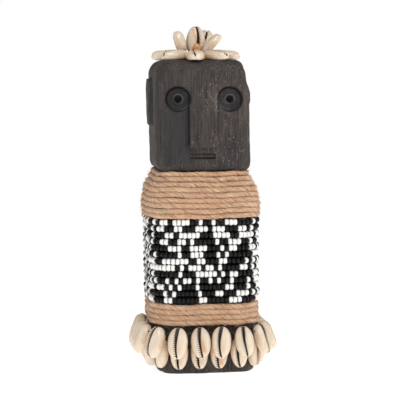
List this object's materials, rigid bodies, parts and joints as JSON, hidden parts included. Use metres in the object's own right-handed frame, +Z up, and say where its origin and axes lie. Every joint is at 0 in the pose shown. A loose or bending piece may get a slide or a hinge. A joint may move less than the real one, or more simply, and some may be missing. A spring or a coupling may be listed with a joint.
{
  "type": "fertility doll",
  "caption": "Block-headed carved wooden doll bound with jute twine and a strand of seed beads, with hanging rows of cowrie shells at the foot and a cowrie flower on the head.",
  "frame": {"origin": "centre of the flat foot of the carved block, on the surface it stands on", "axes": "+Z up along the doll's height, the face looks along -Y, and +X is on the right of a viewer facing it"},
  "size_m": [0.0885, 0.0844, 0.213],
  "materials": {
    "carved_wood": "blackened, matte, with open grain and light scratches",
    "jute_twine": "twisted natural jute, matte",
    "bead_black": "opaque black glass, glossy",
    "bead_white": "opaque off-white glass, glossy",
    "shell_string": "dark waxed thread",
    "cowrie_shell": "natural shell, polished on the lips, satin elsewhere",
    "amber_glue": "set hot glue, satin"
  },
  "bodies": {
    "doll": {"carved_body": "carved_wood", "neck_twine": "jute_twine", "bead_strand": "bead_black", "hip_twine": "jute_twine", "upper_string": "shell_string", "lower_string": "shell_string", "crown_flat_cowrie_01": "cowrie_shell", "crown_flat_cowrie_02": "cowrie_shell", "crown_flat_cowrie_03": "cowrie_shell", "crown_flat_cowrie_04": "cowrie_shell", "crown_flat_cowrie_05": "cowrie_shell", "crown_flat_cowrie_06": "cowrie_shell", "crown_flat_cowrie_07": "cowrie_shell", "crown_flat_cowrie_08": "cowrie_shell", "crown_standing_cowrie_01": "cowrie_shell", "crown_standing_cowrie_02": "cowrie_shell", "crown_standing_cowrie_03": "cowrie_shell", "crown_standing_cowrie_04": "cowrie_shell", "crown_glue": "amber_glue"},
    "upper_shell_01": {"upper_cowrie_01": "cowrie_shell"},
    "upper_shell_02": {"upper_cowrie_02": "cowrie_shell"},
    "upper_shell_03": {"upper_cowrie_03": "cowrie_shell"},
    "upper_shell_04": {"upper_cowrie_04": "cowrie_shell"},
    "upper_shell_05": {"upper_cowrie_05": "cowrie_shell"},
    "upper_shell_06": {"upper_cowrie_06": "cowrie_shell"},
    "upper_shell_07": {"upper_cowrie_07": "cowrie_shell"},
    "upper_shell_08": {"upper_cowrie_08": "cowrie_shell"},
    "upper_shell_09": {"upper_cowrie_09": "cowrie_shell"},
    "upper_shell_10": {"upper_cowrie_10": "cowrie_shell"},
    "upper_shell_11": {"upper_cowrie_11": "cowrie_shell"},
    "upper_shell_12": {"upper_cowrie_12": "cowrie_shell"},
    "upper_shell_13": {"upper_cowrie_13": "cowrie_shell"},
    "upper_shell_14": {"upper_cowrie_14": "cowrie_shell"},
    "upper_shell_15": {"upper_cowrie_15": "cowrie_shell"},
    "upper_shell_16": {"upper_cowrie_16": "cowrie_shell"},
    "upper_shell_17": {"upper_cowrie_17": "cowrie_shell"},
    "upper_shell_18": {"upper_cowrie_18": "cowrie_shell"},
    "upper_shell_19": {"upper_cowrie_19": "cowrie_shell"},
    "lower_shell_01": {"lower_cowrie_01": "cowrie_shell"},
    "lower_shell_02": {"lower_cowrie_02": "cowrie_shell"},
    "lower_shell_03": {"lower_cowrie_03": "cowrie_shell"},
    "lower_shell_04": {"lower_cowrie_04": "cowrie_shell"},
    "lower_shell_05": {"lower_cowrie_05": "cowrie_shell"},
    "lower_shell_06": {"lower_cowrie_06": "cowrie_shell"},
    "lower_shell_07": {"lower_cowrie_07": "cowrie_shell"},
    "lower_shell_08": {"lower_cowrie_08": "cowrie_shell"},
    "lower_shell_09": {"lower_cowrie_09": "cowrie_shell"},
    "lower_shell_10": {"lower_cowrie_10": "cowrie_shell"},
    "lower_shell_11": {"lower_cowrie_11": "cowrie_shell"},
    "lower_shell_12": {"lower_cowrie_12": "cowrie_shell"},
    "lower_shell_13": {"lower_cowrie_13": "cowrie_shell"},
    "lower_shell_14": {"lower_cowrie_14": "cowrie_shell"},
    "lower_shell_15": {"lower_cowrie_15": "cowrie_shell"},
    "lower_shell_16": {"lower_cowrie_16": "cowrie_shell"},
    "lower_shell_17": {"lower_cowrie_17": "cowrie_shell"},
    "lower_shell_18": {"lower_cowrie_18": "cowrie_shell"},
    "lower_shell_19": {"lower_cowrie_19": "cowrie_shell"}
  },
  "joints": [
    {"name": "upper_swing_01", "type": "hinge", "parent": "doll", "child": "upper_shell_01", "pos_m": [-0.00619, -0.0348, 0.0262], "axis": [-1, 0, 0], "range_deg": [0, 85]},
    {"name": "upper_swing_02", "type": "hinge", "parent": "doll", "child": "upper_shell_02", "pos_m": [0.00712, -0.0348, 0.0262], "axis": [-1, 0, 0], "range_deg": [0, 85]},
    {"name": "upper_swing_03", "type": "hinge", "parent": "doll", "child": "upper_shell_03", "pos_m": [0.0204, -0.03447, 0.0262], "axis": [-0.9831, -0.1829, 0], "range_deg": [0, 85]},
    {"name": "upper_swing_04", "type": "hinge", "parent": "doll", "child": "upper_shell_04", "pos_m": [0.0317, -0.02795, 0.0262], "axis": [-0.6504, -0.7596, 0], "range_deg": [0, 85]},
    {"name": "upper_swing_05", "type": "hinge", "parent": "doll", "child": "upper_shell_05", "pos_m": [0.03641, -0.01578, 0.0262], "axis": [-0.0294, -0.9996, 0], "range_deg": [0, 85]},
    {"name": "upper_swing_06", "type": "hinge", "parent": "doll", "child": "upper_shell_06", "pos_m": [0.03642, -0.00247, 0.0262], "axis": [0, -1, 0], "range_deg": [0, 85]},
    {"name": "upper_swing_07", "type": "hinge", "parent": "doll", "child": "upper_shell_07", "pos_m": [0.03642, 0.01083, 0.0262], "axis": [0, -1, 0], "range_deg": [0, 85]},
    {"name": "upper_swing_08", "type": "hinge", "parent": "doll", "child": "upper_shell_08", "pos_m": [0.03442, 0.02382, 0.0262], "axis": [0.4401, -0.898, 0], "range_deg": [0, 85]},
    {"name": "upper_swing_09", "type": "hinge", "parent": "doll", "child": "upper_shell_09", "pos_m": [0.0251, 0.03296, 0.0262], "axis": [0.9063, -0.4227, 0], "range_deg": [0, 85]},
    {"name": "upper_swing_10", "type": "hinge", "parent": "doll", "child": "upper_shell_10", "pos_m": [0.01207, 0.0348, 0.0262], "axis": [1, 0, 0], "range_deg": [0, 85]},
    {"name": "upper_swing_11", "type": "hinge", "parent": "doll", "child": "upper_shell_11", "pos_m": [-0.00124, 0.0348, 0.0262], "axis": [1, 0, 0], "range_deg": [0, 85]},
    {"name": "upper_swing_12", "type": "hinge", "parent": "doll", "child": "upper_shell_12", "pos_m": [-0.01454, 0.0348, 0.0262], "axis": [1, 0, 0], "range_deg": [0, 85]},
    {"name": "upper_swing_13", "type": "hinge", "parent": "doll", "child": "upper_shell_13", "pos_m": [-0.02738, 0.03218, 0.0262], "axis": [0.8662, 0.4997, 0], "range_deg": [0, 85]},
    {"name": "upper_swing_14", "type": "hinge", "parent": "doll", "child": "upper_shell_14", "pos_m": [-0.03587, 0.02227, 0.0262], "axis": [0.3605, 0.9328, 0], "range_deg": [0, 85]},
    {"name": "upper_swing_15", "type": "hinge", "parent": "doll", "child": "upper_shell_15", "pos_m": [-0.03719, 0.00913, 0.0262], "axis": [0, 1, 0], "range_deg": [0, 85]},
    {"name": "upper_swing_16", "type": "hinge", "parent": "doll", "child": "upper_shell_16", "pos_m": [-0.03719, -0.00418, 0.0262], "axis": [0, 1, 0], "range_deg": [0, 85]},
    {"name": "upper_swing_17", "type": "hinge", "parent": "doll", "child": "upper_shell_17", "pos_m": [-0.03705, -0.01748, 0.0262], "axis": [-0.116, 0.9932, 0], "range_deg": [0, 85]},
    {"name": "upper_swing_18", "type": "hinge", "parent": "doll", "child": "upper_shell_18", "pos_m": [-0.03131, -0.02919, 0.0262], "axis": [-0.7139, 0.7003, 0], "range_deg": [0, 85]},
    {"name": "upper_swing_19", "type": "hinge", "parent": "doll", "child": "upper_shell_19", "pos_m": [-0.01948, -0.03471, 0.0262], "axis": [-0.9953, 0.0969, 0], "range_deg": [0, 85]},
    {"name": "lower_swing_01", "type": "hinge", "parent": "doll", "child": "lower_shell_01", "pos_m": [-0.00608, -0.0314, 0.019], "axis": [-1, 0, 0], "range_deg": [0, 8]},
    {"name": "lower_swing_02", "type": "hinge", "parent": "doll", "child": "lower_shell_02", "pos_m": [0.0061, -0.0314, 0.019], "axis": [-1, 0, 0], "range_deg": [0, 8]},
    {"name": "lower_swing_03", "type": "hinge", "parent": "doll", "child": "lower_shell_03", "pos_m": [0.01828, -0.03134, 0.019], "axis": [-0.9965, -0.0836, 0], "range_deg": [0, 8]},
    {"name": "lower_swing_04", "type": "hinge", "parent": "doll", "child": "lower_shell_04", "pos_m": [0.02893, -0.02607, 0.019], "axis": [-0.6708, -0.7416, 0], "range_deg": [0, 8]},
    {"name": "lower_swing_05", "type": "hinge", "parent": "doll", "child": "lower_shell_05", "pos_m": [0.03312, -0.01493, 0.019], "axis": [0, -1, 0], "range_deg": [0, 8]},
    {"name": "lower_swing_06", "type": "hinge", "parent": "doll", "child": "lower_shell_06", "pos_m": [0.03312, -0.00276, 0.019], "axis": [0, -1, 0], "range_deg": [0, 8]},
    {"name": "lower_swing_07", "type": "hinge", "parent": "doll", "child": "lower_shell_07", "pos_m": [0.03312, 0.00942, 0.019], "axis": [0, -1, 0], "range_deg": [0, 8]},
    {"name": "lower_swing_08", "type": "hinge", "parent": "doll", "child": "lower_shell_08", "pos_m": [0.03187, 0.02144, 0.019], "axis": [0.3849, -0.9229, 0], "range_deg": [0, 8]},
    {"name": "lower_swing_09", "type": "hinge", "parent": "doll", "child": "lower_shell_09", "pos_m": [0.02358, 0.02997, 0.019], "axis": [0.9115, -0.4113, 0], "range_deg": [0, 8]},
    {"name": "lower_swing_10", "type": "hinge", "parent": "doll", "child": "lower_shell_10", "pos_m": [0.01161, 0.0314, 0.019], "axis": [1, 0, 0], "range_deg": [0, 8]},
    {"name": "lower_swing_11", "type": "hinge", "parent": "doll", "child": "lower_shell_11", "pos_m": [-0.00057, 0.0314, 0.019], "axis": [1, 0, 0], "range_deg": [0, 8]},
    {"name": "lower_swing_12", "type": "hinge", "parent": "doll", "child": "lower_shell_12", "pos_m": [-0.01275, 0.0314, 0.019], "axis": [1, 0, 0], "range_deg": [0, 8]},
    {"name": "lower_swing_13", "type": "hinge", "parent": "doll", "child": "lower_shell_13", "pos_m": [-0.02467, 0.02972, 0.019], "axis": [0.8962, 0.4436, 0], "range_deg": [0, 8]},
    {"name": "lower_swing_14", "type": "hinge", "parent": "doll", "child": "lower_shell_14", "pos_m": [-0.03264, 0.0209, 0.019], "axis": [0.3517, 0.9361, 0], "range_deg": [0, 8]},
    {"name": "lower_swing_15", "type": "hinge", "parent": "doll", "child": "lower_shell_15", "pos_m": [-0.03368, 0.00885, 0.019], "axis": [0, 1, 0], "range_deg": [0, 8]},
    {"name": "lower_swing_16", "type": "hinge", "parent": "doll", "child": "lower_shell_16", "pos_m": [-0.03368, -0.00333, 0.019], "axis": [0, 1, 0], "range_deg": [0, 8]},
    {"name": "lower_swing_17", "type": "hinge", "parent": "doll", "child": "lower_shell_17", "pos_m": [-0.03368, -0.01551, 0.019], "axis": [-0.0193, 0.9998, 0], "range_deg": [0, 8]},
    {"name": "lower_swing_18", "type": "hinge", "parent": "doll", "child": "lower_shell_18", "pos_m": [-0.0291, -0.02649, 0.019], "axis": [-0.6969, 0.7172, 0], "range_deg": [0, 8]},
    {"name": "lower_swing_19", "type": "hinge", "parent": "doll", "child": "lower_shell_19", "pos_m": [-0.01826, -0.03138, 0.019], "axis": [-0.9988, 0.048, 0], "range_deg": [0, 8]}
  ]
}
